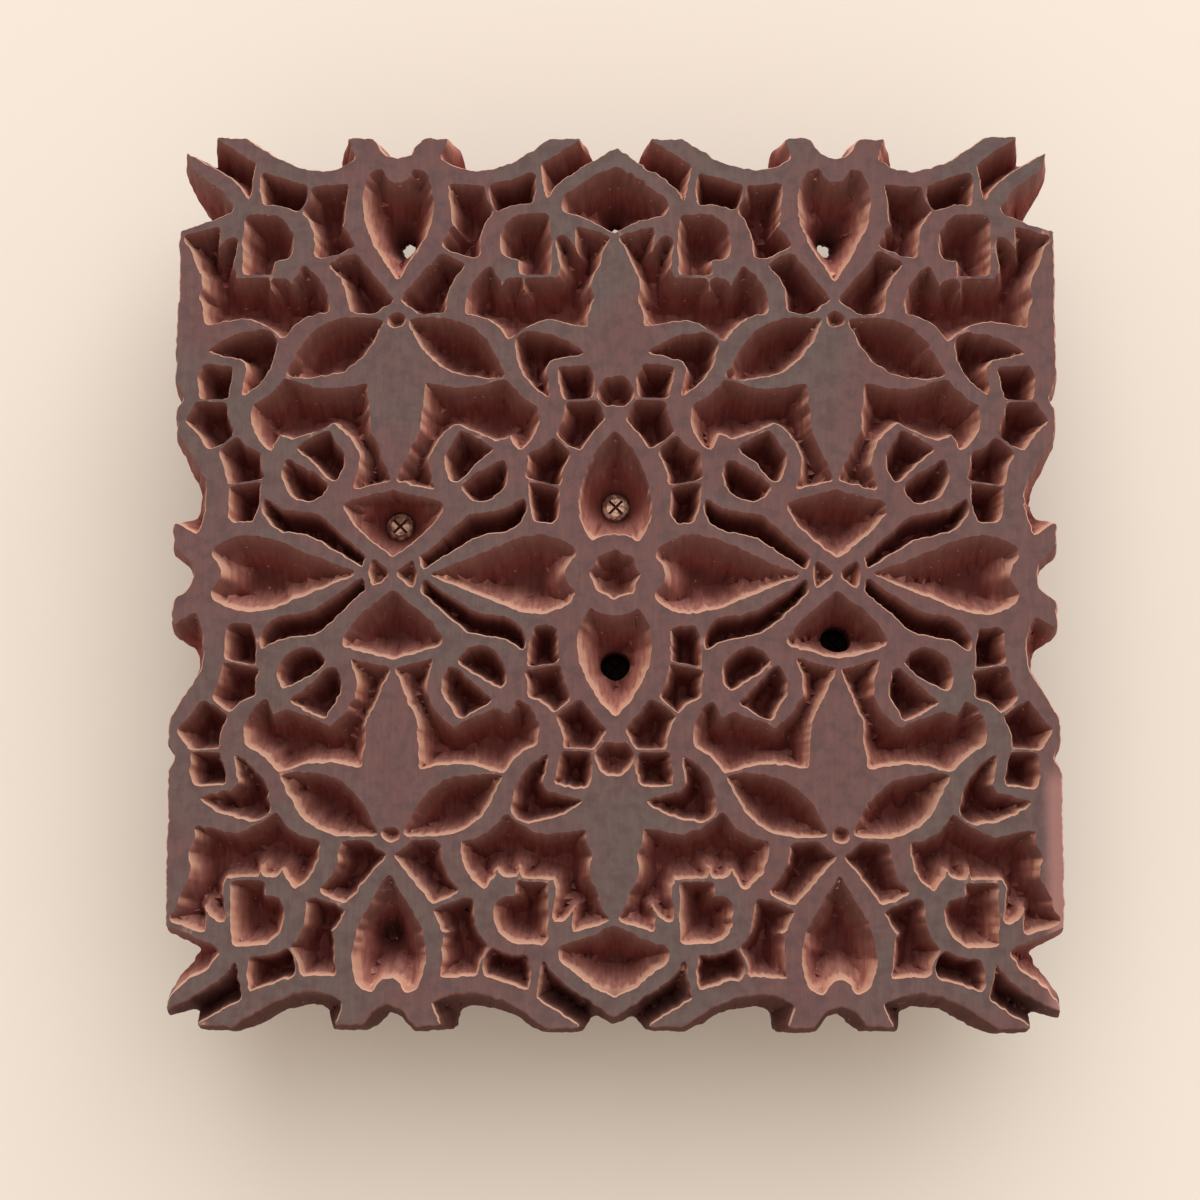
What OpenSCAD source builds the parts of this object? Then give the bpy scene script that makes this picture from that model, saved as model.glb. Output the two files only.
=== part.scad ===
/* [Block] */
// Width of the printing face, edge to edge
block_w = 150; // [135:1:170]
// Thickness of the solid wood behind the carving
slab_t = 11; // [10:0.5:16]
// Depth of the carving below the printing face
carve_depth = 13; // [9:0.5:16]
// Diameter of the air holes bored through the slab
vent_d = 2.8; // [1.5:0.1:3.6]

/* [Handle] */
// Length of the grip along the block
grip_l = 106; // [96:1:118]
// Width of the grip across the block
grip_w = 56; // [54:1:66]
// Height of the grip, from the slab down to its resting face
grip_h = 26; // [23:0.5:34]
// Depth of the finger groove in each long side of the grip
groove_depth = 8; // [5:0.5:9]
// Height of the finger groove in each long side of the grip
groove_h = 14; // [11:0.5:15]
// Radius of the grip's upright corners
grip_corner = 9; // [5:0.5:14]
// Rounding of the edges that lie in the palm
palm_round = 4; // [2:0.5:4]

/* [Screws] */
// Diameter of a screw head
head_d = 5.2; // [4.4:0.1:6]
// Height of a screw head
head_h = 2.2; // [1.6:0.1:2.6]
// Diameter of a screw's shank
shank_d = 3; // [2.4:0.1:3.4]
// Length of a screw under its head
screw_l = 22; // [18:0.5:23]
// How deep the two sunk screws sit below the floor of their hollow
sunk_by = 5; // [3:0.5:6]
// Width of each slot of the cross in a screw head
slot_w = 1; // [0.8:0.1:1.2]

/* [Hidden] */
$fn = 48;
slab_z = grip_h;
floor_z = slab_z + slab_t;
face_z = floor_z + carve_depth;
// How far a cut runs past the face that it opens
past = 1;

// Screw places: across, up, and how deep below the hollow's floor
screws = [[-37.5, 10, 0], [0, 13.4, 0], [0, -14.4, sunk_by], [38, -10, sunk_by]];
vents = [[-37, 60], [0, 62.6], [36.8, 60], [-38.4, -60]];
shank_gap = 0.15;
head_gap = 0.4;
tip_gap = 0.5;

// An outline is a list of [x, y, bow]: the line to the next corner bows out by that much
function heading(a, b) = (b - a) / norm(b - a);
function steps(bow) = abs(bow) < 0.12 ? 1 : abs(bow) < 0.35 ? 2 : abs(bow) < 1.2 ? 3 : 4;
function bowed(a, b, bow, t) =
    a + (b - a) * t + [heading(a, b)[1], -heading(a, b)[0]] * bow * 4 * t * (1 - t);
function corner(v) = [v[0], v[1]];
function last(path) = path[len(path) - 1];
function line_of(path) = [
    for (i = [0 : len(path) - 2], k = [0 : steps(path[i][2]) - 1])
        bowed(corner(path[i]), corner(path[i + 1]), path[i][2], k / steps(path[i][2]))
];
function ring_of(path) = line_of(concat(path, [path[0]]));
// Half an outline that starts and ends on the fold, made whole
function both_sides(path) =
    let (half = line_of(path), n = len(half), end = corner(last(path)))
    let (across = abs(path[0][1] - end[1]) > abs(path[0][0] - end[0]))
    concat(half, [end], [
        for (i = [n - 1 : -1 : 1])
            across ? [2 * end[0] - half[i][0], half[i][1]] : [half[i][0], 2 * end[1] - half[i][1]]
    ]);

// One hollow, cut straight down from above the face
module hollow(ring, depth = carve_depth) {
    translate([0, 0, face_z - depth]) linear_extrude(depth + past) polygon(ring * draw);
}

// The pattern, drawn for the quarter right of and above the middle of the block
flame = [[0, 59.3, -0.3], [8.6, 62.5, 0], [9.2, 63.6, 0.4], [7.4, 66.1, 0.2], [2.6, 69.4, 0], [0, 70.6, 0]];
under_flame = [
    [0.9, 58, -0.35], [2.6, 54.2, 0], [3.2, 53, -0.9], [3.9, 47.3, -0.5], [4.9, 42.9, 0],
    [11.5, 44.1, -0.7], [18.4, 40.5, -1.2], [25.6, 45.1, 1.3], [21.6, 53.1, 0], [19.6, 49.3, 0],
    [18.5, 50.8, 0], [16.4, 50.8, 0], [15.9, 49, 0], [15.3, 50.8, 0], [10, 50.8, 0],
    [9.3, 52.7, 0], [9.8, 58.1, 0], [8.7, 58.2, 0], [6.4, 55.4, 0], [6.7, 59.9, 0]
];
top_notch = [
    [4.7, 71.2, -0.15], [9.2, 68.3, -0.3], [11.8, 64.9, 0], [12.9, 71, 0], [6.2, 75.2, 0],
    [5, 78.5, 0], [2.6, 78.5, 0], [3, 73.6, 0]
];
under_arch = [[14.3, 69.5, 0], [14, 66.5, 0], [14.4, 64.1, -0.5], [20.3, 62.9, 0.4], [21.5, 67.2, 0]];
beside_spear = [
    [22.9, 67, 0], [22.6, 65, 0], [21.1, 62.7, -0.5], [23.4, 57.6, 0], [23.6, 54.9, 0], [24.6, 54.7, 0],
    [29.9, 56.8, 0], [28.5, 59.4, 0], [27.4, 60.1, 0], [28.1, 61.3, 0], [28.3, 65, 0], [28.7, 67.4, 0]
];
loop_eye = [
    [11.3, 61.6, 0], [11.3, 52, 0], [16.3, 52, 0], [16.3, 54.4, 0], [18.9, 54.6, 0], [19.6, 56, 1.1],
    [16.8, 61.9, 0], [12, 62.1, 0]
];
under_tick = [
    [26, 53.4, -0.9], [29.3, 46, 0], [29.6, 45.4, 0], [33.8, 45.2, 0.1], [36.8, 47.3, 0], [31.2, 54.1, 0],
    [30.2, 55.3, 0]
];
spear = [
    [37.5, 67.6, -0.3], [35.4, 68.7, 0], [34.7, 70.2, 0], [32.8, 69.4, 0.3], [31.4, 64.6, 0.4],
    [33.2, 57.8, 0], [37.5, 50.6, 0]
];
knot = [[37.5, 45.1, 0], [36.3, 44.4, 0], [36.3, 43.2, 0], [37.5, 42.5, 0]];
upper_leaf = [[35.1, 43.6, 0], [28.8, 43.9, 1.4], [20.9, 37.8, 0], [19, 34.2, 0.6], [28.3, 34.8, 1.1]];
under_wing = [
    [18.6, 33.2, -0.5], [13.3, 28.9, 0], [13, 26.3, 0.7], [16.3, 21.4, 0], [17.6, 24.4, 0],
    [19.9, 23.2, 0], [27.1, 26.2, -0.7], [31.8, 20.4, -0.4], [30.6, 14.5, 0], [36.9, 16.1, 0],
    [34.6, 21.6, 0], [33, 25, 0.2], [32.6, 29.8, 0], [32.5, 32.8, -1.3]
];
upper_drop = [[20.8, 21.5, -0.2], [27.1, 16, 0], [28, 16.1, 0.3], [29, 20.3, 0], [26.3, 24.4, 0]];
lower_drop = [[19.2, 19.5, 0.2], [18.3, 17.2, 1.3], [22.8, 12.4, 0.7], [26.1, 14.8, 0.4]];
eye = [[37.5, 14.2, 0], [29.4, 12.1, 0.2], [29.4, 10.6, 0.3], [33, 6.5, 0], [37.5, 2.9, 0]];
crossing = [[36.7, 0, 0], [35.4, 1.4, 0], [34.2, 2.2, 0], [33.8, 0, 0]];
along_petal = [
    [15.4, 12.7, 0], [15.3, 10.6, 0.3], [17.4, 7.8, 0.2], [20, 7.2, -0.15], [24.2, 6.2, 0],
    [32.3, 1.1, 0], [32.7, 2.9, 0], [26, 8.9, 0], [24.8, 9.9, 0], [18.2, 11, 0]
];
low_cell = [[9.6, 14.6, 0], [9.6, 9.6, 0], [10.6, 8.8, 0], [13.5, 9, 0], [13.9, 11.5, 0], [14.4, 15.4, 0]];
mid_cell = [[10.3, 23.3, 0], [7.6, 20.8, -0.2], [9.2, 15.5, 0], [14.9, 16.6, 0], [14.4, 18.2, 0], [14.4, 20.7, -0.4]];
top_cell = [[3.6, 29.4, 0], [1.7, 26.4, -0.3], [5.7, 21.4, 0], [9.7, 24.2, 0], [8.7, 26.8, 0], [8.3, 29.3, 0]];
small_knot = [[0, 28.9, 0], [1.6, 28.9, 0], [2.9, 30.6, 0], [2.3, 32.4, 0.2], [1.4, 33.8, 0], [0, 34, 0]];
box_cell = [[4.6, 35.9, 0], [3.8, 33.5, 0], [4.3, 30.4, 0], [8.8, 30.3, 0], [9.4, 33, 0], [9.7, 35.4, 0]];
lower_leaf = [[5.4, 38.2, 0], [11.4, 36.8, 0.2], [12.2, 35.6, 0], [11.3, 30.6, 1.5], [17.2, 39.6, 0.4], [15, 41.6, 0.9]];
up_petal = [[0, 7, 0], [2.4, 6.7, -0.15], [3.9, 5.6, 0.2], [5.7, 9.4, 0.3], [5.6, 14.8, 0.8], [0, 24.2, 0]];
side_petal = [[31, 0, 0], [20, 4.5, 0.45], [12.5, 6.5, 0.4], [7.2, 4.4, 0], [6.8, 2.9, -0.5], [8.6, 0, 0]];
rosette = [for (i = [0 : 23]) (3.8 + 0.4 * cos(120 * i)) * [cos(15 * i), sin(15 * i)]];

// The pattern folds where the eye comes to its point, at a quarter of its width, and is scaled to the block
fold_x = eye[0][0];
draw = block_w / (4 * fold_x);

// The outer edge of the same quarter: up the side, along the crown to the fold, and on to the tip.
// Each corner has its place on the face and the bow to the next one, then its place on the slab.
side_edge = [
    [71.4, 0, 0, 72.2, 0], [71.8, 2, 0, 72.8, 1.8], [74.7, 4.4, 0, 75.7, 3.9], [74.8, 8.3, 0, 75.8, 9],
    [74.2, 8.9, 0, 74.9, 10.2], [70.9, 6.9, -0.9, 73, 11], [69.7, 16, 0, 72.2, 16.6],
    [74.8, 24.4, 0, 75.6, 23.6], [75, 28.4, 0, 75.9, 28.8], [73.7, 30.5, 0, 74.9, 30.5],
    [75, 33.5, 0, 75.9, 32.4], [75, 59.3, 0, 75.9, 60.2], [66.4, 62.5, 0, 70.8, 62.6],
    [65.8, 63.6, 0.4, 70.4, 63.3], [67.6, 66.1, 0.2, 71.6, 65.4], [72.4, 69.4, 0, 74.3, 68.9],
    [73.9, 71.4, 0, 75.4, 71.1], [74.3, 73.4, 0, 75.7, 74.6], [70.3, 71.2, 0, 70.6, 73.4]
];
crown_edge = [
    [37.5, 72.2, 0, 37.5, 73.6], [35.3, 72.9, 0, 36.1, 74.2], [33.2, 75.8, 0, 33.8, 76.8],
    [28.7, 75.7, 0, 27.3, 76.7], [30, 72, -0.5, 26.6, 73.6], [24, 70, -0.7, 22.6, 72.6],
    [14.5, 73.8, 0, 14.8, 75.5], [11.5, 75.8, 0, 11.8, 76.8], [6.1, 75.8, 0, 5.5, 76.6]
];
tip_edge = [
    [4.9, 74.2, 0, 4.3, 75.2], [4.4, 72.4, 0, 3.7, 74.4], [4.7, 71.2, 0, 3.2, 74],
    [0, 74.2, 0, 0, 75.6]
];
function at_face(path) = [for (v = path) [v[0], v[1], v[2]]];
function at_slab(path) = [for (v = path) [v[3], v[4], v[2]]];
function with_end(path) = concat(line_of(path), [corner(last(path))]);
// One quarter of the edge, short of the tip, and then all four
function edge_quarter(side, crown, tip) =
    let (top = with_end(crown))
    concat(
        with_end(side),
        [for (i = [len(top) - 1 : -1 : 1]) [2 * fold_x - top[i][0], top[i][1]]],
        top, line_of(tip)
    );
function edge_ring(quarter, tip) =
    let (n = len(quarter))
    concat(
        quarter, [tip],
        [for (i = [n - 1 : -1 : 0]) [-quarter[i][0], quarter[i][1]]],
        [for (i = [1 : n - 1]) -quarter[i]], [-tip],
        [for (i = [n - 1 : -1 : 1]) [quarter[i][0], -quarter[i][1]]]
    );
face_ring = edge_ring(
    edge_quarter(at_face(side_edge), at_face(crown_edge), at_face(tip_edge)), corner(last(tip_edge)));
slab_ring = edge_ring(
    edge_quarter(at_slab(side_edge), at_slab(crown_edge), at_slab(tip_edge)), corner(last(at_slab(tip_edge))));

module four_ways() {
    children();
    mirror([1, 0, 0]) children();
    mirror([0, 1, 0]) {
        children();
        mirror([1, 0, 0]) children();
    }
}

// The half of the quarter that the fold repeats
module unit() {
    for (path = [under_flame, under_arch, beside_spear, loop_eye, under_tick, upper_leaf, under_wing,
                 upper_drop, lower_drop, along_petal, low_cell, mid_cell, top_cell, box_cell, lower_leaf,
                 top_notch])
        hollow(ring_of(path));
}

module carving() {
    four_ways() {
        unit();
        translate([2 * fold_x * draw, 0, 0]) mirror([1, 0, 0]) unit();
        hollow(both_sides(spear));
        hollow(both_sides(eye));
        hollow(both_sides(knot), carve_depth * 0.3);
    }
    for (side = [0, 1], fold = [0, 1])
        mirror([side, 0, 0]) translate([2 * fold_x * draw * fold, 0, 0]) mirror([fold, 0, 0]) {
            hollow(both_sides(side_petal));
            hollow(both_sides(crossing), carve_depth * 0.4);
        }
    for (end = [0, 1])
        mirror([0, end, 0]) {
            hollow(both_sides(flame));
            hollow(both_sides(up_petal));
            hollow(both_sides(small_knot), carve_depth * 0.7);
        }
    hollow(rosette, carve_depth * 0.8);
}

module carved_block() color("SaddleBrown")
    difference() {
        union() {
            translate([0, 0, slab_z]) linear_extrude(slab_t) polygon(slab_ring * draw);
            translate([0, 0, floor_z]) linear_extrude(carve_depth) polygon(face_ring * draw);
        }
        carving();
        for (v = vents)
            translate([v[0] * draw, v[1] * draw, slab_z - past]) cylinder(d = vent_d, h = slab_t + 2 * past);
        for (s = screws)
            translate([s[0] * draw, s[1] * draw, floor_z - s[2] - head_h]) {
                cylinder(d = head_d + 2 * head_gap, h = head_h + s[2] + past);
                translate([0, 0, -slab_t]) cylinder(d = shank_d + 2 * shank_gap, h = slab_t + past);
            }
    }

// A bar's end seen from its end: straight at the top, round at the two lower corners
module round_below(width, height, radius) {
    translate([-width / 2, radius]) square([width, height - radius]);
    translate([-width / 2 + radius, 0]) square([width - 2 * radius, height]);
    for (side = [-1, 1])
        translate([side * (width / 2 - radius), radius]) circle(radius);
}

module grip_plan() {
    square([grip_l - 2 * grip_corner, grip_w], center = true);
    square([grip_l, grip_w - 2 * grip_corner], center = true);
    for (x = [-1, 1], y = [-1, 1])
        translate([x * (grip_l / 2 - grip_corner), y * (grip_w / 2 - grip_corner)]) circle(grip_corner);
}

module grip_section() {
    difference() {
        round_below(grip_w, grip_h, palm_round);
        for (side = [-1, 1])
            translate([side * (grip_w / 2 - groove_depth + groove_h / 2), grip_h / 2]) {
                circle(groove_h / 2);
                translate([side * groove_h / 2, 0]) square([groove_h, groove_h], center = true);
            }
    }
}

module back_handle() color("Sienna")
    difference() {
        intersection() {
            linear_extrude(grip_h) grip_plan();
            rotate([90, 0, 90]) translate([0, 0, -grip_l / 2]) linear_extrude(grip_l) grip_section();
            rotate([90, 0, 0]) translate([0, 0, -grip_w / 2]) linear_extrude(grip_w)
                round_below(grip_l, grip_h, palm_round);
        }
        for (s = screws)
            translate([s[0] * draw, s[1] * draw, floor_z - s[2] - head_h - screw_l - tip_gap])
                cylinder(d = shank_d + 2 * shank_gap, h = screw_l + slab_t);
    }

// One wood screw, its head's underside at zero
module screw() {
    rotate_extrude() polygon([
        [0, -screw_l], [shank_d / 2, -screw_l + shank_d], [shank_d / 2, 0], [head_d / 2, 0],
        [head_d / 2, head_h * 0.45], [head_d * 0.42, head_h * 0.85], [head_d * 0.3, head_h], [0, head_h]
    ]);
}

module handle_screws() color("Silver")
    for (s = screws)
        translate([s[0] * draw, s[1] * draw, floor_z - s[2] - head_h])
            difference() {
                screw();
                for (turn = [45, 135])
                    rotate(turn) translate([0, 0, head_h]) cube([head_d * 0.62, slot_w, head_h], center = true);
            }

carved_block();
back_handle();
handle_screws();
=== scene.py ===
import math

import bmesh
import bpy
import numpy as np
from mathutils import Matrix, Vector, geometry, kdtree, noise


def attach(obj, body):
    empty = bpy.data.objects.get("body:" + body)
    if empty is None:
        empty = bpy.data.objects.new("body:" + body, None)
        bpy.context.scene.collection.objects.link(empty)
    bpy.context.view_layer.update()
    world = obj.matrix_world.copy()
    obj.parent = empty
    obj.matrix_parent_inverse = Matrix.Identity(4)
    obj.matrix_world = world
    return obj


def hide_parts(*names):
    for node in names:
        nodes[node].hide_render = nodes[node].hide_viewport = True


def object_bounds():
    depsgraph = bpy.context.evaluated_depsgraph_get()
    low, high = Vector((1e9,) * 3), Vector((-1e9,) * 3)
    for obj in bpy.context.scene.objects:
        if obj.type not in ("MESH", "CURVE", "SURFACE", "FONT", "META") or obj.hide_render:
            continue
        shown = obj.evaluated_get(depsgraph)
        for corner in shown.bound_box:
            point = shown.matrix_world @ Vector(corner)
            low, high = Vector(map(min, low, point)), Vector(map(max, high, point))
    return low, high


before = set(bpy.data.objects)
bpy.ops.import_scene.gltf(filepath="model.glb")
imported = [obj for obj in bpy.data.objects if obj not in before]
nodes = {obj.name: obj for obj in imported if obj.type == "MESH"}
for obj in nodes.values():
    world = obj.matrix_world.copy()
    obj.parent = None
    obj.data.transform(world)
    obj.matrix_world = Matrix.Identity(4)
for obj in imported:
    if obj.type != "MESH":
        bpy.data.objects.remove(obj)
cad_low, cad_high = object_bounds()
MM = 0.001


# Carved block
# One slab of dense red-brown hardwood. The pattern is drawn on its planed face and all
# round the drawing is driven down with small chisels, so each hollow has fluted, chopped
# walls, a scooped floor and a worn, slightly ragged rim.

FACE_Z = 50.0           # heights above the table, in mm like all sizes here
FLOOR_Z = 37.0
BACK_Z = 26.0
SLACK = 0.01            # places that lie nearer than this count as the same
RIM_STEP = 0.5          # spacing of the points along a rim
HAND_WANDER = 0.4       # how far the knife strayed from the drawing
RIM_RAG = 0.2           # fine raggedness of a rim
RIM_TEAR = 0.65         # where the fibres tore out
KNOT_POINTS = 10        # the most points that a small knot in a rim takes up
THIN_RIDGE = 1.1        # half a ridge's width below which it is a hairline
HAIRLINE_BITE = 0.42    # the most of that half which is cut off such a ridge
ARRIS_WIDTH = 0.52      # the rim's worn edge, measured in on the ridge
ARRIS_DROP = 0.6        # and down
CHISEL = 1.7            # width of one chisel cut
WALL_SCOOP = 1.75       # how round the walls are, where 1 is a flat slope
WALL_ROWS = (0.25, 0.6, 1.0, 1.5, 2.1, 2.9, 3.8)    # rows of points, by distance from the rim
ON_ITS_ROW = 0.88       # a point nearer to the rim than this share of that is left out


def rough(x, y, size, seed):
    """Smooth noise from -1 to 1 with bumps of one size in mm."""
    return noise.noise(Vector((x / size, y / size, seed)))


def borders_at(obj, level):
    """The border of the flat faces that lie at one height, as closed loops in mm."""
    mesh = obj.data
    co = np.empty(len(mesh.vertices) * 3)
    mesh.vertices.foreach_get("co", co)
    co = np.round(co.reshape(-1, 3) / MM, 4)
    points, index = np.unique(co, axis=0, return_inverse=True)
    index = index.ravel()
    mesh.calc_loop_triangles()
    tris = np.array([index[list(t.vertices)] for t in mesh.loop_triangles])
    flat = tris[(np.abs(points[tris][:, :, 2] - level) < SLACK).all(axis=1)]
    used = {e for a, b, c in flat for e in ((a, b), (b, c), (c, a))}
    after = {a: b for a, b in sorted(used) if (b, a) not in used}
    loops = []
    while after:
        start, here = next(iter(after.items()))
        loop = [start]
        del after[start]
        while here != start:
            loop.append(here)
            here = after.pop(here)
        loops.append(points[loop][:, :2])
    return loops


def area(loop):
    x, y = loop[:, 0], loop[:, 1]
    return 0.5 * float(np.sum(x * np.roll(y, -1) - y * np.roll(x, -1)))


def anticlockwise(loop):
    return loop if area(loop) > 0 else loop[::-1]


def inside(points, loop):
    """Which of the points lie inside one closed loop."""
    x, y = points[:, 0][:, None], points[:, 1][:, None]
    ax, ay = loop[:, 0][None], loop[:, 1][None]
    bx, by = np.roll(loop[:, 0], -1)[None], np.roll(loop[:, 1], -1)[None]
    spans = (ay > y) != (by > y)
    rise = np.where(by == ay, 1.0, by - ay)
    return (spans & (x < (bx - ax) * (y - ay) / rise + ax)).sum(axis=1) % 2 == 1


def inward(loop):
    """Unit normals that point to the left of the walk round the loop."""
    along = np.roll(loop, -1, axis=0) - np.roll(loop, 1, axis=0)
    along /= np.maximum(np.linalg.norm(along, axis=1), 1e-9)[:, None]
    return np.stack([-along[:, 1], along[:, 0]], axis=1)


def tree_of(points):
    tree = kdtree.KDTree(len(points))
    for i, p in enumerate(points):
        tree.insert((p[0], p[1], 0), i)
    tree.balance()
    return tree


def away_from(tree, x, y):
    """Distance to the nearest point of a tree, and that point's number."""
    _, number, distance = tree.find((x, y, 0))
    return distance, number


def evenly(loop):
    """A loop with points every RIM_STEP and its corners eased."""
    out = []
    for a, b in zip(loop, np.roll(loop, -1, axis=0)):
        count = max(1, round(float(np.linalg.norm(b - a)) / RIM_STEP))
        for k in range(count):
            out.append(a + (b - a) * k / count)
    out = np.array(out)
    return 0.5 * out + 0.25 * (np.roll(out, 1, axis=0) + np.roll(out, -1, axis=0))


def along_loop(values, reach):
    """Values along a closed loop, each the mean of those within its reach."""
    return sum(np.roll(values, k) for k in range(-reach, reach + 1)) / (2 * reach + 1)


def half_ridge(p, outwards, tree):
    """Half the width of the ridge beside a rim point, looked for up to THIN_RIDGE."""
    for half in np.arange(0.3, THIN_RIDGE + 0.01, 0.1):
        q = p + outwards * half
        if away_from(tree, *q)[0] < 0.93 * half:    # the ridge's other rim is nearer
            return half
    return THIN_RIDGE


def unknotted(loop):
    """A loop with each small knot in it drawn together to the point where it crosses itself."""
    loop = loop.copy()
    count = len(loop)
    for i in list(range(count)) * 2:    # a second time for the knots that the first mends make
        for j in range(i + 2, i + KNOT_POINTS):
            met = geometry.intersect_line_line_2d(
                loop[i], loop[(i + 1) % count], loop[j % count], loop[(j + 1) % count])
            if met:
                for k in range(i + 1, j + 1):
                    loop[k % count] = met
    return loop


def strayed(loop, boldness=1.0):
    """A loop of the drawing as the hand cut it, ragged by how bold the hand was."""
    out = []
    for (x, y), normal, bold in zip(loop, inward(loop), np.broadcast_to(boldness, len(loop))):
        shift = [rough(x, y, 17, seed) + 0.4 * rough(x, y, 6, seed + 4.6) for seed in (3.1, 23.1)]
        torn = RIM_TEAR * max(0.0, rough(x, y, 8, 12.0)) * rough(x, y, 1.1, 14.0)
        rag = bold * (torn + RIM_RAG * (rough(x, y, 0.8, 1.3) + 0.9 * rough(x, y, 1.7, 2.6)))
        out.append((x + HAND_WANDER * shift[0] + rag * normal[0],
                    y + HAND_WANDER * shift[1] + rag * normal[1]))
    out = unknotted(np.array(out))
    return out[np.linalg.norm(out - np.roll(out, 1, axis=0), axis=1) > SLACK]


block_cad = nodes["carved_block"]
drawn = sorted(borders_at(block_cad, FACE_Z), key=lambda loop: -abs(area(loop)))
drawn = [evenly(anticlockwise(loop)) for loop in drawn]
drawn_tree = tree_of(np.concatenate(drawn))


def cut_rim(loop):
    """The rim of a hollow, which comes nearer to its neighbour at a hairline ridge."""
    outwards = -inward(loop)
    half = np.array([half_ridge(p, n, drawn_tree) for p, n in zip(loop, outwards)])
    bite = along_loop(np.clip((THIN_RIDGE - half) * 1.3, 0, HAIRLINE_BITE * half), 2)
    standing = half - bite
    return strayed(loop + outwards * bite[:, None], np.clip((standing - 0.15) / 0.5, 0, 1))


outline = strayed(drawn[0])
hollows = [cut_rim(loop) for loop in drawn[1:]]


def chisel_cuts(rim, hand):
    """How far each point of a rim's wall leans in, from 0 to 1: each chisel cut has its own lean,
    and is a little hollow across its width."""
    run = np.cumsum(np.linalg.norm(np.roll(rim, -1, axis=0) - rim, axis=1))
    cuts = max(1, round(run[-1] / CHISEL))
    place = run / run[-1] * cuts + 0.3 * np.array([rough(x, y, 2.3, 4.4) for x, y in rim])
    lean = hand.random(cuts)[np.floor(place).astype(int) % cuts]
    hollow = 1 - (2 * (place % 1) - 1) ** 2
    return along_loop(0.7 * lean + 0.3 * hollow, 1)


def wall_z(away, depth, run, lean):
    """Height of a wall at a distance from its rim, where it is run wide."""
    share = min(1.0, away / (run * (0.72 + 0.45 * lean)))
    return FACE_Z - ARRIS_DROP - (depth - ARRIS_DROP) * (1 - (1 - share) ** WALL_SCOOP)


def chips(x, y, away):
    """What the chisel's chips left standing, fading out towards the rim."""
    return (0.22 * rough(x, y, 2.6, 9.0) + 0.3 * rough(x, y, 0.9, 2.0)) * min(1, away / 2)


def rim_z(x, y):
    return FACE_Z - ARRIS_DROP * (1 + 0.5 * rough(x, y, 1.7, 6.0))


verts, gaps, faces = [], [], []


def add(points, point_gaps=None):
    """New mesh points in mm, each with its distance from the nearest rim.
    Gives the first one's number."""
    first = len(verts)
    verts.extend(points)
    gaps.extend([0.0] * len(points) if point_gaps is None else point_gaps)
    return first


def ring_edges(first, count):
    return [(first + i, first + (i + 1) % count) for i in range(count)]


def skin(points, heights, edges, keep, upside_down=False, point_gaps=None):
    """Triangles over points that keep the edges, where keep says yes of their centres.
    Gives the mesh number of each point."""
    co, _, tris, ids, _, _ = geometry.delaunay_2d_cdt(
        [Vector(p) for p in points], edges, [], 0, 1e-6, True)
    flat = np.array([(p.x, p.y) for p in co])
    tris = np.array([t for t in tris if len(t) == 3])
    good = tris[keep(flat[tris].mean(axis=1))]
    near = tree_of(points)
    first_old = [old[0] if old else away_from(near, *p)[1] for p, old in zip(flat, ids)]
    some_gaps = [point_gaps[old] for old in first_old] if point_gaps else None
    first = add([(p[0], p[1], heights[old]) for p, old in zip(flat, first_old)], some_gaps)
    if upside_down:
        good = good[:, ::-1]
    faces.extend([tuple(first + int(i) for i in t) for t in good])
    return {old: first + new for new, olds in enumerate(ids) for old in olds}


def join_rings(upper, lower):
    for i in range(len(upper)):
        j = (i + 1) % len(upper)
        faces.append((upper[j], upper[i], lower[i], lower[j]))


def middle_of(loop):
    return (loop.max(axis=0) + loop.min(axis=0)) / 2


# The screws' seats fit their heads; the vents are awl holes that lean towards the block's edge
HEAD_R = 2.6            # of a screw's head
HEAD_H = 2.2
DISH_SLOPE = 2.2        # a head that lies at the floor has a dish round it
VENT_LEAN = 1.5         # how far a vent's lower mouth lies beyond its upper one
NEAR_VENT_LEAN = -1.8   # times that, for the vent at the near edge
VENT_SCOOP = 4.5        # depth of the scoop round a vent's mouth
SCOOP_REACH = 3.0
VENT_RAG = 0.45
WIDEST_HOLE = 4.0       # a border with a greater radius is the slab's own edge
SEAT_POINTS = 28        # points round a hole

screw_co = np.array([v.co[:] for v in nodes["handle_screws"].data.vertices]) / MM
seats, vents = [], []
for loop in borders_at(block_cad, BACK_Z):
    middle = middle_of(loop)
    radius = float(np.linalg.norm(loop - middle, axis=1).max())
    if radius > WIDEST_HOLE:
        continue
    over = screw_co[np.linalg.norm(screw_co[:, :2] - middle, axis=1) < WIDEST_HOLE]
    if len(over):
        seats.append((middle[0], middle[1], HEAD_R, over[:, 2].max() - HEAD_H))
    else:
        vents.append((middle[0], middle[1], radius, BACK_Z))


def ragged_circle(x, y, r, rag):
    out = []
    for turn in np.linspace(0, 2 * math.pi, SEAT_POINTS, endpoint=False):
        c, s = math.cos(turn), math.sin(turn)
        grow = r * (1 + rag * rough(x + 3 * c, y + 3 * s, 1.0, 0.0))
        out.append((x + grow * c, y + grow * s))
    return np.array(out)


FLOOR_GRID = 0.9        # spacing of the points on a floor
LEAST_GAP = 0.55        # between those points and the rows of the wall
BORE_GAP = 0.4          # between any point and a bored hole
LEAST_RUN = 1.2         # width of a wall, from its rim to where the floor is level
MOST_RUN = 7.0
STEEPER = 0.95          # times that width, in a straggling hollow

vent_mouths = []
hand = np.random.default_rng(11)


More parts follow.
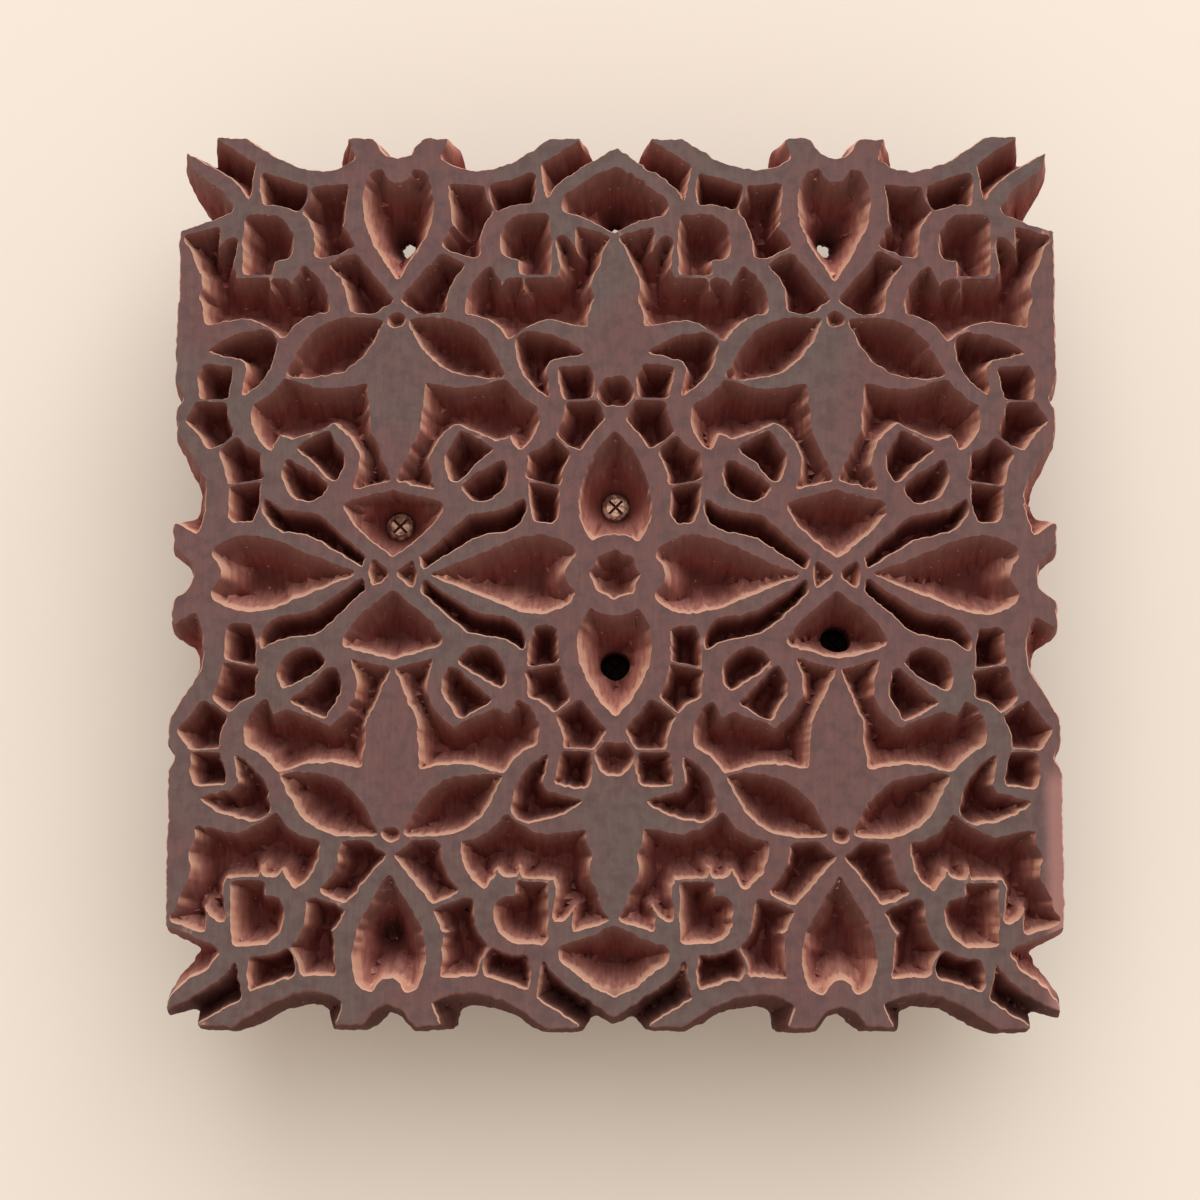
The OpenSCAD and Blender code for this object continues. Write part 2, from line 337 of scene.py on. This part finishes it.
def carve(rim):
    """One hollow: rows of points down its wall, its floor, and any hole bored in it."""
    tree = tree_of(rim)
    normal = inward(rim)
    lean = chisel_cuts(rim, hand)
    low, high = rim.min(axis=0), rim.max(axis=0)
    grid = np.array([(x + 0.35 * rough(x, y, 1.0, 4.0), y + 0.35 * rough(x, y, 1.0, 8.0))
                     for x in np.arange(low[0], high[0], FLOOR_GRID)
                     for y in np.arange(low[1], high[1], FLOOR_GRID)])
    grid = grid[inside(grid, rim)]
    widest = max([away_from(tree, *p)[0] for p in grid], default=0.5)
    run = min(MOST_RUN, max(LEAST_RUN, widest))
    if math.pi * widest ** 2 < 0.4 * area(rim):
        run *= STEEPER
    depth = FACE_Z - FLOOR_Z
    # A shallow hollow is as deep as it is in the plain block
    middle = middle_of(rim)
    hit, at, _, _ = block_cad.ray_cast((middle[0] * MM, middle[1] * MM, 0.08), (0, 0, -1))
    if hit and FLOOR_Z + 0.5 < at.z / MM < FACE_Z - 0.5:
        depth = FACE_Z - at.z / MM
    bores = [b for b in seats + vents if inside(np.array([b[:2]]), rim)[0]]

    def height(x, y):
        away, near = away_from(tree, x, y)
        z = wall_z(away, depth, run, lean[near]) + chips(x, y, away)
        for bx, by, r, bottom in bores:
            beyond = max(0.0, math.hypot(x - bx, y - by) - r)
            if bottom == BACK_Z and beyond < SCOOP_REACH:
                z -= VENT_SCOOP * (1 - beyond / SCOOP_REACH) ** 2
            elif bottom + HEAD_H > FLOOR_Z - 1:
                z = min(z, bottom + 0.75 * HEAD_H + DISH_SLOPE * beyond)
        return z

    def clear(x, y):
        return all(math.hypot(x - bx, y - by) > r + BORE_GAP for bx, by, r, _ in bores)

    points = [tuple(p) for p in rim]
    heights = [rim_z(*p) for p in rim]
    edges = ring_edges(0, len(rim))
    for row, s in enumerate(WALL_ROWS):
        step = 1 if s < 0.8 else 2
        for i in range(row % step, len(rim), step):
            x, y = rim[i] + normal[i] * s
            if away_from(tree, x, y)[0] > ON_ITS_ROW * s and clear(x, y):
                points.append((x, y))
                heights.append(height(x, y))
    taken = tree_of(points)
    for x, y in grid:
        if away_from(taken, x, y)[0] > LEAST_GAP and clear(x, y):
            points.append((x, y))
            heights.append(height(x, y))
    holes = []
    for x, y, r, bottom in bores:
        ring = ragged_circle(x, y, r, VENT_RAG if bottom == BACK_Z else 0.0)
        holes.append((len(points), ring, bottom))
        edges += ring_edges(len(points), SEAT_POINTS)
        points += [tuple(p) for p in ring]
        heights += [height(*p) for p in ring]

    def keep(centres):
        ok = inside(centres, rim)
        for _, ring, _ in holes:
            ok &= ~inside(centres, ring)
        return ok

    number = skin(points, heights, edges, keep, point_gaps=[away_from(tree, *p)[0] for p in points])
    for start, ring, bottom in holes:
        row = [number[start + i] for i in range(SEAT_POINTS)]
        z_top = min(verts[i][2] for i in row)
        lean_y = 0.0
        if bottom == BACK_Z:
            lean_y = VENT_LEAN if ring[0][1] > 0 else NEAR_VENT_LEAN * VENT_LEAN
        for k in (0.3, 0.65, 1.0):
            base = add([(p[0], p[1] + lean_y * k, z_top + (bottom - z_top) * k) for p in ring])
            lower = list(range(base, base + SEAT_POINTS))
            join_rings(row, lower)
            row = lower
        if bottom == BACK_Z:
            vent_mouths.append(row)
        else:
            faces.append(tuple(row))


for rim in hollows:
    carve(rim)

# The planed face between the rims, with a worn arris in from each of them
FACE_WEAR = 0.05        # how far the middle of a ridge lies below its edges
FACE_GRID = 1.6         # spacing of the points on the broad parts of the face
FACE_GAP = 0.42         # between those points and an arris

all_rims = tree_of(np.concatenate([outline] + hollows))


def arris_of(rim, to_ridge):
    """The rim moved in on the ridge, less where the ridge is thin."""
    out = []
    for p, n in zip(rim, to_ridge):
        room = away_from(all_rims, *(p + 0.5 * n))[0]
        width = ARRIS_WIDTH * (1 + 0.45 * rough(p[0], p[1], 1.3, 2.0))
        out.append(p + n * min(width, 0.45 * room))
    return unknotted(np.array(out))


to_ridges = [inward(outline)] + [-inward(rim) for rim in hollows]
rims = [outline] + hollows
arrises = [arris_of(rim, to_ridge) for rim, to_ridge in zip(rims, to_ridges)]
arris_tree = tree_of(np.concatenate(arrises))
points, edges, face_gaps = [], [], []
for arris in arrises:
    edges += ring_edges(len(points), len(arris))
    points += [tuple(p) for p in arris]
    face_gaps += [0.0] * len(arris)


def on_face(centres):
    ok = inside(centres, arrises[0])
    for arris in arrises[1:]:
        low, high = arris.min(axis=0), arris.max(axis=0)
        maybe = ok & (centres > low).all(axis=1) & (centres < high).all(axis=1)
        ok[np.flatnonzero(maybe)[inside(centres[maybe], arris)]] = False
    return ok


inner = [arris + to_ridge * 0.5 for arris, to_ridge in zip(arrises, to_ridges)]
spread_out = np.array([(x + 0.5 * rough(x, y, 1.0, 4.0), y + 0.5 * rough(x, y, 1.0, 8.0))
                       for x in np.arange(-75.0, 75.0, FACE_GRID)
                       for y in np.arange(-76.0, 76.0, FACE_GRID)])
for place in np.concatenate(inner + [spread_out[on_face(spread_out)]]):
    gap = away_from(arris_tree, *place)[0]
    if gap > FACE_GAP:
        points.append(tuple(place))
        face_gaps.append(gap)
heights = [FACE_Z - FACE_WEAR * min(1, gap) * (1 + rough(p[0], p[1], 5, 3.0))
           for p, gap in zip(points, face_gaps)]
skin(points, heights, edges, on_face, point_gaps=face_gaps)
for rim, arris in zip(rims, arrises):
    base = add([(p[0], p[1], FACE_Z) for p in arris] + [(p[0], p[1], rim_z(*p)) for p in rim])
    upper = list(range(base, base + len(rim)))
    join_rings([i + len(rim) for i in upper], upper)

# The outside: a chopped wall from the outline down to the slab, and the slab's own side
OUTER_RUN = 3.0         # width of the outer wall
SIDE_ROWS = (36.5, 33.0, 29.5, 26.8, BACK_Z)    # heights of the rows of points down the side

limit_low, limit_high = np.array(cad_low[:2]) / MM, np.array(cad_high[:2]) / MM
outline_tree = tree_of(outline)
outline_lean = chisel_cuts(outline, hand)
slab_edge = max(borders_at(block_cad, BACK_Z), key=lambda loop: abs(area(loop)))
side = np.clip(strayed(evenly(anticlockwise(slab_edge))), limit_low, limit_high)
side_tree = tree_of(side)


def outer_height(x, y):
    away, near = away_from(outline_tree, x, y)
    return wall_z(away, FACE_Z - FLOOR_Z, OUTER_RUN, outline_lean[near]) + chips(x, y, away)


points = [tuple(p) for p in outline] + [tuple(p) for p in side]
heights = [rim_z(*p) for p in outline] + [outer_height(*p) for p in side]
edges = ring_edges(0, len(outline)) + ring_edges(len(outline), len(side))
outwards = -inward(outline)
for s in WALL_ROWS:
    for p in outline + outwards * s:
        if away_from(outline_tree, *p)[0] > ON_ITS_ROW * s and away_from(side_tree, *p)[0] > 0.3:
            points.append(tuple(p))
            heights.append(outer_height(*p))
number = skin(points, heights, edges,
              lambda centres: inside(centres, side) & ~inside(centres, outline))
row = [number[len(outline) + i] for i in range(len(side))]
side_in = inward(side)
for z in SIDE_ROWS:
    cut = [0.2 * (0.5 + rough(p[0], p[1], 1.5, z / 9)) + (0.25 if z == BACK_Z else 0) for p in side]
    places = unknotted(side + side_in * np.maximum(0, cut)[:, None])
    base = add([(p[0], p[1], z) for p in places])
    lower = list(range(base, base + len(side)))
    join_rings(row, lower)
    row = lower

# The flat back, with the vents' lower mouths
rings = [row] + vent_mouths
borders = [np.array([verts[i][:2] for i in ring]) for ring in rings]
points, edges = [], []
for border in borders:
    edges += ring_edges(len(points), len(border))
    points += [tuple(p) for p in border]


def on_back(centres):
    ok = inside(centres, borders[0])
    for border in borders[1:]:
        ok &= ~inside(centres, border)
    return ok


skin(points, [BACK_Z] * len(points), edges, on_back, upside_down=True)

WELD = 2e-6             # in metres
SHARP = 42              # degrees between faces that meet in a sharp edge


def placed(name, data):
    """A new object in the scene that holds the data."""
    obj = bpy.data.objects.new(name, data)
    bpy.context.scene.collection.objects.link(obj)
    return obj


block_mesh = bpy.data.meshes.new("carved_face")
block_mesh.from_pydata([(x * MM, y * MM, z * MM) for x, y, z in verts], [], faces)
block_mesh.attributes.new("rim_gap", "FLOAT", "POINT").data.foreach_set("value", gaps)
weld = bmesh.new()
weld.from_mesh(block_mesh)
bmesh.ops.remove_doubles(weld, verts=weld.verts, dist=WELD)
bmesh.ops.delete(weld, geom=[v for v in weld.verts if not v.link_faces], context="VERTS")
bmesh.ops.recalc_face_normals(weld, faces=weld.faces)
weld.to_mesh(block_mesh)
weld.free()
block_mesh.shade_smooth()
block_mesh.set_sharp_from_angle(angle=math.radians(SHARP))
block = placed("carved_face", block_mesh)
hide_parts("carved_block")
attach(block, "root")


class Finish:
    """One material, with short calls to add and join its nodes."""

    def __init__(self, name):
        self.material = bpy.data.materials.new(name)
        self.material.use_nodes = True
        self.tree = self.material.node_tree
        self.surface = self.tree.nodes["Principled BSDF"]

    def add(self, kind, values=None, **settings):
        node = self.tree.nodes.new(kind)
        for key, value in settings.items():
            setattr(node, key, value)
        for key, value in (values or {}).items():
            if isinstance(value, bpy.types.NodeSocket):
                self.tree.links.new(value, node.inputs[key])
            else:
                node.inputs[key].default_value = value
        return node

    def math(self, operation, a, b=0.0):
        return self.add("ShaderNodeMath", {0: a, 1: b}, operation=operation).outputs[0]

    def spread(self, value, low, high, to_low=0.0, to_high=1.0):
        return self.add("ShaderNodeMapRange", {
            "Value": value, "From Min": low, "From Max": high, "To Min": to_low, "To Max": to_high},
            interpolation_type="SMOOTHSTEP").outputs[0]

    def mix(self, share, a, b):
        node = self.tree.nodes.new("ShaderNodeMix")
        node.data_type = "RGBA"
        for socket, value in ((0, share), (6, a), (7, b)):
            if isinstance(value, bpy.types.NodeSocket):
                self.tree.links.new(value, node.inputs[socket])
            else:
                node.inputs[socket].default_value = value
        return node.outputs[2]

    def noise(self, where, scale, detail=3.0, rough=0.55):
        return self.add("ShaderNodeTexNoise", {
            "Vector": where, "Scale": scale, "Detail": detail, "Roughness": rough}).outputs[0]

    def in_mm(self):
        """The place on the piece, in mm."""
        spot = self.add("ShaderNodeTexCoord").outputs["Object"]
        return self.add("ShaderNodeVectorMath", {0: spot, 3: 1 / MM}, operation="SCALE").outputs[0]

    def wire(self, socket, value):
        self.tree.links.new(value, self.surface.inputs[socket])

    def bump(self, height, strength, distance):
        node = self.add("ShaderNodeBump", {
            "Height": height, "Strength": strength, "Distance": distance})
        self.wire("Normal", node.outputs[0])


# Colours of the wood
TAN_DARK = (0.39, 0.160, 0.130, 1)
TAN_PALE = (0.55, 0.270, 0.218, 1)
TAN_BLOTCH = (0.30, 0.115, 0.095, 1)
DEEP_SHADE_DARK = (0.175, 0.047, 0.042, 1)
DEEP_SHADE_RED = (0.25, 0.074, 0.064, 1)
CORE_SHADE_RED = (0.085, 0.026, 0.022, 1)
WALL_SHADE = (0.135, 0.060, 0.056, 1)
BARE_WOOD_HIGHLIGHT = (0.70, 0.41, 0.30, 1)
NEAR_EDGE_SHADE = (0.070, 0.026, 0.023, 1)
SANDING_DUST = (0.62, 0.40, 0.31, 1)
STAIN_RED = (0.127, 0.058, 0.056, 1)
STAIN_GREY = (0.104, 0.072, 0.066, 1)
STAIN_FIBRE = (0.170, 0.096, 0.09, 1)
STAIN_BLOTCH = (0.083, 0.048, 0.048, 1)
RUBBED_STAIN = (0.33, 0.165, 0.15, 1)

wood = Finish("carved_hardwood")
in_mm = wood.in_mm()
x_mm, y_mm, height = wood.add("ShaderNodeSeparateXYZ", {0: in_mm}).outputs
normal = wood.add("ShaderNodeNewGeometry").outputs["Normal"]
normal_x, normal_y, normal_z = wood.add("ShaderNodeSeparateXYZ", {0: normal}).outputs
gap = wood.add("ShaderNodeAttribute", attribute_name="rim_gap").outputs["Fac"]
along = wood.add("ShaderNodeMapping", {"Vector": in_mm, "Scale": (1.0, 0.12, 0.12)}).outputs[0]
broad = wood.noise(in_mm, 0.03, 2.0)
blotch = wood.noise(in_mm, 0.4, 4.0, 0.6)
fibre = wood.noise(along, 1.6, 4.0, 0.6)
pores = wood.noise(along, 6.0, 2.0)

# Cut wood: tan near the rim; below it, painted shade that turns darker brown and then dark red in
# the deep floors
cut = wood.mix(wood.spread(fibre, 0.3, 0.7), TAN_DARK, TAN_PALE)
cut = wood.mix(wood.spread(blotch, 0.5, 0.75, 0.0, 0.6), cut, TAN_BLOTCH)
deep_shade = wood.mix(wood.spread(fibre, 0.3, 0.7), DEEP_SHADE_DARK, DEEP_SHADE_RED)
# Walls that face the block's near edge, away from the window, are darkened with painted shade.
# Those that face the far edge get a painted highlight, bare wood at the rim in streaks, partly real
# wear.
faces_far = wood.math(
    "ADD", wood.math("MULTIPLY", normal_y, 0.9), wood.math("MULTIPLY", normal_x, 0.1))
# The painted shade climbs higher on walls that face away from the window, and is darkest at the
# middle of a wide hollow's floor
level = wood.math("ADD", height, wood.math("MULTIPLY", faces_far, 4.0))
core_shade = wood.math("MULTIPLY", wood.spread(gap, 1.8, 5.2), wood.spread(height, 43.0, 39.5))
deep_shade = wood.mix(wood.math("MULTIPLY", core_shade, 0.7), deep_shade, CORE_SHADE_RED)
body = wood.mix(wood.spread(level, 38.0, 46.5), deep_shade, cut)
# Painted shade on the walls that face the near edge
shaded_walls = wood.math("MULTIPLY", wood.spread(faces_far, 0.05, -0.4), wood.spread(height, 40.0, 46.0))
body = wood.mix(wood.math("MULTIPLY", shaded_walls, 0.8), body, WALL_SHADE)
# Painted highlight of bare wood on walls that face the window, partly real wear at the rim, in
# streaks
streaks = wood.math("ADD", wood.math("MULTIPLY", fibre, 5.0), wood.math("MULTIPLY", blotch, 4.0))
worn_and_lit_to = wood.math("ADD", height, wood.math("SUBTRACT", streaks, 4.5))
bare_and_highlight = wood.math("MULTIPLY", wood.spread(faces_far, -0.25, 0.25), wood.spread(worn_and_lit_to, 45.2, 47.6))
body = wood.mix(wood.math("MULTIPLY", bare_and_highlight, 0.95), body, BARE_WOOD_HIGHLIGHT)
# Painted shade on the walls at the near edge, where the block shades itself
near_edge_shade = wood.math("MULTIPLY", wood.spread(y_mm, -68.5, -71.5), wood.spread(height, 49.6, 48.6))
body = wood.mix(wood.math("MULTIPLY", near_edge_shade, 0.85), body, NEAR_EDGE_SHADE)
# Sanding dust caught in the hollows
dust = wood.add("ShaderNodeTexVoronoi", {"Vector": in_mm, "Scale": 0.55}).outputs["Distance"]
dust = wood.math("MULTIPLY", wood.spread(dust, 0.16, 0.08), wood.spread(blotch, 0.52, 0.6))
body = wood.mix(wood.math("MULTIPLY", dust, 0.5), body, SANDING_DUST)
# The printing face, darkened by years of colour, greyer in some parts, and worn through at
# the arrises
stain = wood.mix(wood.spread(broad, 0.4, 0.6), STAIN_RED, STAIN_GREY)
stain = wood.mix(wood.spread(fibre, 0.35, 0.75, 0.0, 0.35), stain, STAIN_FIBRE)
stain = wood.mix(wood.spread(blotch, 0.42, 0.66, 0.0, 0.7), stain, STAIN_BLOTCH)
# One edge of the face is rubbed pale
rubbed = wood.math("MULTIPLY", wood.spread(x_mm, 71.0, 73.5), wood.spread(y_mm, -31.0, -36.0))
stain = wood.mix(wood.math("MULTIPLY", rubbed, 0.75), stain, RUBBED_STAIN)
on_top = wood.math("MULTIPLY", wood.spread(height, 49.6, 49.88), wood.spread(normal_z, 0.6, 0.9))
ragged_gap = wood.math("ADD", gap, wood.math("MULTIPLY", wood.math("SUBTRACT", blotch, 0.5), 0.5))
stained = wood.math("MULTIPLY", on_top, wood.spread(ragged_gap, -0.2, 0.0))
wood.wire("Base Color", wood.mix(stained, body, stain))
wood.wire("Roughness", wood.spread(stained, 0.0, 1.0, 0.8, 0.6))
wood.wire("Specular IOR Level", wood.spread(stained, 0.0, 1.0, 0.08, 0.25))
grain = wood.math("ADD", wood.math("MULTIPLY", fibre, 0.6), wood.math("MULTIPLY", pores, 0.4))
wood.bump(grain, 0.5, 0.0003)
block_mesh.materials.append(wood.material)


# Grip
# The grip is a bar of lighter wood, rounded where it meets the palm, with a finger
# groove planed along each long side. It is screwed to the slab's flat back.

GRIP_DARK = (0.26, 0.115, 0.058, 1)
GRIP_PALE = (0.36, 0.18, 0.095, 1)
GRIP_FIBRE = (0.19, 0.075, 0.04, 1)
PALM_DIRT = (0.15, 0.06, 0.045, 1)

grip = Finish("grip_hardwood")
in_mm = grip.in_mm()
along = grip.add("ShaderNodeMapping", {"Vector": in_mm, "Scale": (0.07, 1.0, 1.0)}).outputs[0]
year_rings = grip.add("ShaderNodeTexWave", {
    "Vector": along, "Scale": 0.35, "Distortion": 5.0, "Detail": 3.0, "Detail Scale": 1.5},
    bands_direction="Z").outputs[1]
fibre = grip.noise(along, 2.4, 5.0, 0.65)
blotch = grip.noise(in_mm, 0.06, 3.0)
tone = grip.mix(grip.spread(year_rings, 0.2, 0.8), GRIP_DARK, GRIP_PALE)
tone = grip.mix(grip.spread(fibre, 0.35, 0.75, 0.0, 0.6), tone, GRIP_FIBRE)
tone = grip.mix(grip.spread(blotch, 0.5, 0.75, 0.0, 0.5), tone, PALM_DIRT)
grip.wire("Base Color", tone)
grip.wire("Roughness", grip.spread(fibre, 0.3, 0.8, 0.42, 0.62))
grip.bump(fibre, 0.3, 0.0002)
for s in nodes["back_handle"].material_slots:
    s.material = grip.material


# Screws
# Four small cross-slot wood screws go in from the floor of the hollows. They are plain
# yellow-plated steel, dulled by damp colour and dust, with painted shade in their slots and on the
# sunk heads.

BRIGHT_PLATE = (0.66, 0.42, 0.31, 1)
DULL_PLATE = (0.24, 0.115, 0.08, 1)
DARK_DIRT_AND_SHADE = (0.012, 0.006, 0.005, 1)
PALE_DIRT_AND_SHADE = (0.10, 0.042, 0.03, 1)

steel = Finish("dull_steel")
in_mm = steel.in_mm()
height = steel.add("ShaderNodeSeparateXYZ", {0: in_mm}).outputs[2]
tarnish = steel.noise(in_mm, 0.9, 4.0)
scratch = steel.noise(in_mm, 9.0, 2.0)
plate = steel.mix(steel.spread(tarnish, 0.44, 0.56), BRIGHT_PLATE, DULL_PLATE)
# Dye and dust fill the cross slots and bury the two sunk heads; their dark colour there is also
# painted shade of those recesses
clogged_and_shaded = steel.spread(steel.math("ADD", height, steel.math("MULTIPLY", tarnish, 0.3)), 36.4, 36.15)
dirt_and_shade = steel.mix(steel.spread(height, 33.0, 35.0), DARK_DIRT_AND_SHADE, PALE_DIRT_AND_SHADE)
steel.wire("Base Color", steel.mix(clogged_and_shaded, plate, dirt_and_shade))
dulled = steel.math("ADD", clogged_and_shaded, steel.math("MULTIPLY", scratch, 0.4))
steel.wire("Roughness", steel.spread(dulled, 0, 1, 0.42, 0.8))
steel.wire("Metallic", steel.spread(clogged_and_shaded, 0.0, 1.0, 0.4, 0.0))
steel.wire("Specular IOR Level", steel.spread(clogged_and_shaded, 0.0, 1.0, 0.5, 0.02))
steel.bump(tarnish, 0.3, 0.0002)

# The punched cross is narrow, with sides that draw in towards its floor
SLOT_HALF = 0.5         # half the width that the plain cross has
PUNCHED_HALF = 0.24
SLOT_FLOOR = 1.0        # below the top of the head
SLOT_MOUTH = 0.6        # how far down the slot keeps its width
SLOT_TAPER = 0.6        # times that width, at the slot's floor

screws_mesh = nodes["handle_screws"].data.copy()
screws_mesh.name = "cross_slot_screws"
for x, y, _, bottom in seats:
    top = bottom + HEAD_H
    for v in screws_mesh.vertices:
        px, py, pz = v.co[0] / MM - x, v.co[1] / MM - y, v.co[2] / MM
        if math.hypot(px, py) > WIDEST_HOLE or pz < top - SLOT_FLOOR - 0.3:
            continue
        u, w = (px + py) / math.sqrt(2), (py - px) / math.sqrt(2)
        half = PUNCHED_HALF * (1.0 if pz > top - SLOT_MOUTH else SLOT_TAPER)
        u = math.copysign(half, u) if abs(abs(u) - SLOT_HALF) < 0.02 else u
        w = math.copysign(half, w) if abs(abs(w) - SLOT_HALF) < 0.02 else w
        place = (x + (u - w) / math.sqrt(2), y + (u + w) / math.sqrt(2))
        v.co = Vector((place[0] * MM, place[1] * MM, v.co[2]))
screws_mesh.materials.clear()
screws_mesh.materials.append(steel.material)
screws = placed("cross_slot_screws", screws_mesh)
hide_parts("handle_screws")
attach(screws, "root")


# Table top
# A plain pale cream surface under the block.

TABLE_HALF = 3.0        # in metres
CREAM = (0.75, 0.70, 0.63, 1)

floor_mesh = bpy.data.meshes.new("table_top")
corners = [(x * TABLE_HALF, y * TABLE_HALF, 0) for x, y in ((-1, -1), (1, -1), (1, 1), (-1, 1))]
floor_mesh.from_pydata(corners, [], [(0, 1, 2, 3)])
floor = placed("table_top", floor_mesh)
cream = Finish("cream_table")
cream.surface.inputs["Base Color"].default_value = CREAM
cream.surface.inputs["Roughness"].default_value = 0.9
floor_mesh.materials.append(cream.material)


# Light and camera
# Soft light from beyond the block's far edge, as from a window, and a gentle fill.

LIT_AT = Vector((0, 0, 0.04))


def lamp(name, place, size, watts, colour):
    data = bpy.data.lights.new(name, "AREA")
    data.shape = "SQUARE"
    data.size = size
    data.energy = watts
    data.color = colour
    obj = placed(name, data)
    obj.location = place
    obj.rotation_euler = (LIT_AT - Vector(place)).to_track_quat("-Z", "Y").to_euler()


lamp("window", (0.35, 1.5, 2.1), 3.0, 59, (1, 1, 1.02))
lamp("ceiling", (0.0, -0.5, 1.7), 1.5, 3, (1, 0.92, 0.84))
world = bpy.data.worlds.new("room")
bpy.context.scene.world = world
world.use_nodes = True
world.node_tree.nodes["Background"].inputs["Color"].default_value = (1, 0.87, 0.75, 1)
world.node_tree.nodes["Background"].inputs["Strength"].default_value = 0.70

IMAGE = 1200            # width of the picture, in pixels
FOCAL_PX = 2730
FILM_MM = 36
EYE = (0.0017, -0.0587, 0.5075)
TURN = (6.77, 0.52, 0.15)   # how far the camera is turned from straight down, in degrees

camera_data = bpy.data.cameras.new("viewpoint")
camera_data.sensor_width = FILM_MM
camera_data.lens = FILM_MM * FOCAL_PX / IMAGE
camera = placed("viewpoint", camera_data)
camera.location = EYE
camera.rotation_mode = "AXIS_ANGLE"
turn = Vector([math.radians(angle) for angle in TURN])
camera.rotation_axis_angle = (turn.length, *turn.normalized())
bpy.context.scene.camera = camera
bpy.context.scene.view_settings.view_transform = "Standard"
